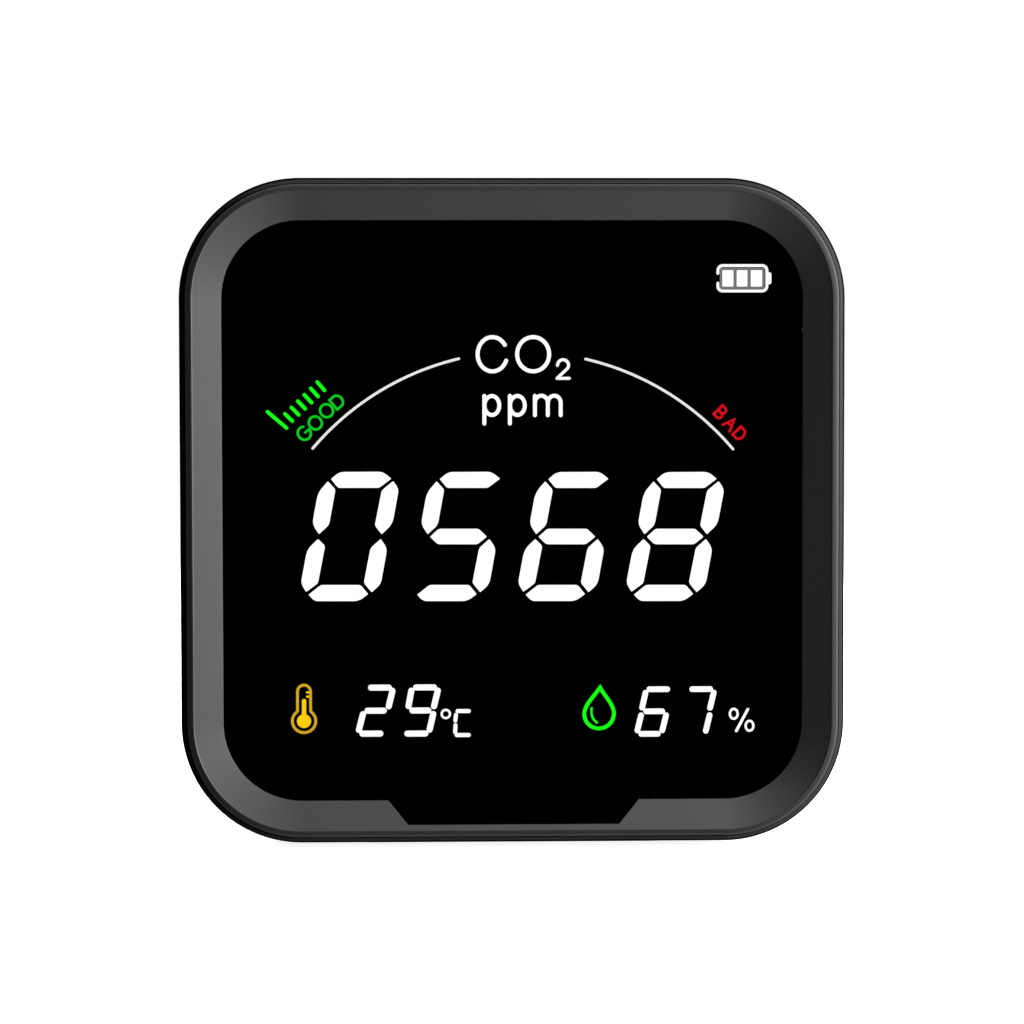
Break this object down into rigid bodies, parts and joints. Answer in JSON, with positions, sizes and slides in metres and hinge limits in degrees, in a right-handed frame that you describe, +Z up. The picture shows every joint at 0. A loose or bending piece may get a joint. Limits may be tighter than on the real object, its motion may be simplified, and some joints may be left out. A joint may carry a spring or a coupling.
{
  "type": "carbon dioxide monitor",
  "caption": "Square desktop carbon dioxide monitor with large corner radii, a dished front frame around a smoked display, flush top keys and air slots in its case.",
  "frame": {"origin": "on the ground under the middle of the square body, at the undersides of the two rubber feet", "axes": "+Z up, the display faces -Y, +X to the right of someone reading the display"},
  "size_m": [0.086, 0.034, 0.0868],
  "materials": {
    "frame_plastic": "dark grey ABS, fine satin moulded surface",
    "case_plastic": "black ABS, fine spark-eroded texture",
    "smoked_lens": "smoked acrylic, polished",
    "adhesive_tape": "black double-sided tape",
    "display_glass": "polarised display glass, nearly black",
    "display_film": "printed colour film",
    "clear_acrylic": "clear acrylic light guide",
    "white_plastic": "white reflective polycarbonate",
    "green_board": "green solder mask over glass-epoxy laminate",
    "black_board": "black solder mask over glass-epoxy laminate",
    "flex_circuit": "amber polyimide with copper traces",
    "chip_epoxy": "black moulded epoxy",
    "gold_plate": "gold-plated sensor chamber",
    "steel": "zinc-plated steel",
    "nickel": "nickel-plated socket shell",
    "filter_membrane": "white porous membrane",
    "key_plastic": "black ABS, satin",
    "cell_pouch": "aluminium laminate pouch",
    "foam": "black foam adhesive pad",
    "red_wire": "red silicone insulation",
    "black_wire": "black silicone insulation",
    "nylon": "natural nylon",
    "foot_rubber": "black moulded rubber"
  },
  "bodies": {
    "housing": {"front_frame": "frame_plastic", "front_lens": "smoked_lens", "lens_tape": "adhesive_tape", "lcd_front_glass": "display_glass", "lcd_rear_glass": "display_glass", "colour_film": "display_film", "light_guide": "clear_acrylic", "backlight_led_strip": "white_plastic", "backlight_tray": "white_plastic", "display_ribbon": "flex_circuit", "main_board": "green_board", "ribbon_socket": "nylon", "mcu_chip": "chip_epoxy", "buzzer": "chip_epoxy", "sensor_header_left": "chip_epoxy", "sensor_header_right": "chip_epoxy", "co2_sensor_board": "black_board", "co2_sensor_chamber": "gold_plate", "co2_sensor_membrane": "filter_membrane", "infrared_lamp": "steel", "infrared_detector": "steel", "climate_sensor_board": "black_board", "climate_sensor_chip": "chip_epoxy", "climate_cable": "black_wire", "key_board": "green_board", "power_switch_body": "chip_epoxy", "mode_switch_body": "chip_epoxy", "alarm_switch_body": "chip_epoxy", "key_ribbon": "flex_circuit", "power_board": "green_board", "usb_c_shell": "nickel", "usb_c_tongue": "chip_epoxy", "charger_chip": "chip_epoxy", "power_ribbon": "flex_circuit", "battery_socket": "nylon", "battery_plug": "nylon", "battery_cell": "cell_pouch", "battery_pad": "foam", "battery_lead_red": "red_wire", "battery_lead_black": "black_wire", "rear_case": "case_plastic", "front_foot": "foot_rubber", "rear_foot": "foot_rubber", "case_screw_top_left": "steel", "case_screw_top_right": "steel", "case_screw_bottom_left": "steel", "case_screw_bottom_right": "steel", "board_screw_left": "steel", "board_screw_right": "steel", "key_board_screw_left": "steel", "key_board_screw_right": "steel", "power_board_screw_left": "steel", "power_board_screw_right": "steel"},
    "power_key": {"power_button": "key_plastic"},
    "mode_key": {"mode_button": "key_plastic"},
    "alarm_key": {"alarm_button": "key_plastic"},
    "power_plunger": {"power_switch_plunger": "nylon"},
    "mode_plunger": {"mode_switch_plunger": "nylon"},
    "alarm_plunger": {"alarm_switch_plunger": "nylon"}
  },
  "joints": [
    {"name": "power_key_press", "type": "slide", "parent": "housing", "child": "power_key", "axis": [0, 0, -1], "range_m": [0, 0.0003]},
    {"name": "mode_key_press", "type": "slide", "parent": "housing", "child": "mode_key", "axis": [0, 0, -1], "range_m": [0, 0.0003]},
    {"name": "alarm_key_press", "type": "slide", "parent": "housing", "child": "alarm_key", "axis": [0, 0, -1], "range_m": [0, 0.0003]},
    {"name": "power_plunger_press", "type": "slide", "parent": "housing", "child": "power_plunger", "axis": [0, 0, -1], "range_m": [0, 0.0003]},
    {"name": "mode_plunger_press", "type": "slide", "parent": "housing", "child": "mode_plunger", "axis": [0, 0, -1], "range_m": [0, 0.0003]},
    {"name": "alarm_plunger_press", "type": "slide", "parent": "housing", "child": "alarm_plunger", "axis": [0, 0, -1], "range_m": [0, 0.0003]}
  ],
  "couplings": [
    {"joint": "power_plunger_press", "follows": "power_key_press", "ratio": 1},
    {"joint": "mode_plunger_press", "follows": "mode_key_press", "ratio": 1},
    {"joint": "alarm_plunger_press", "follows": "alarm_key_press", "ratio": 1}
  ]
}
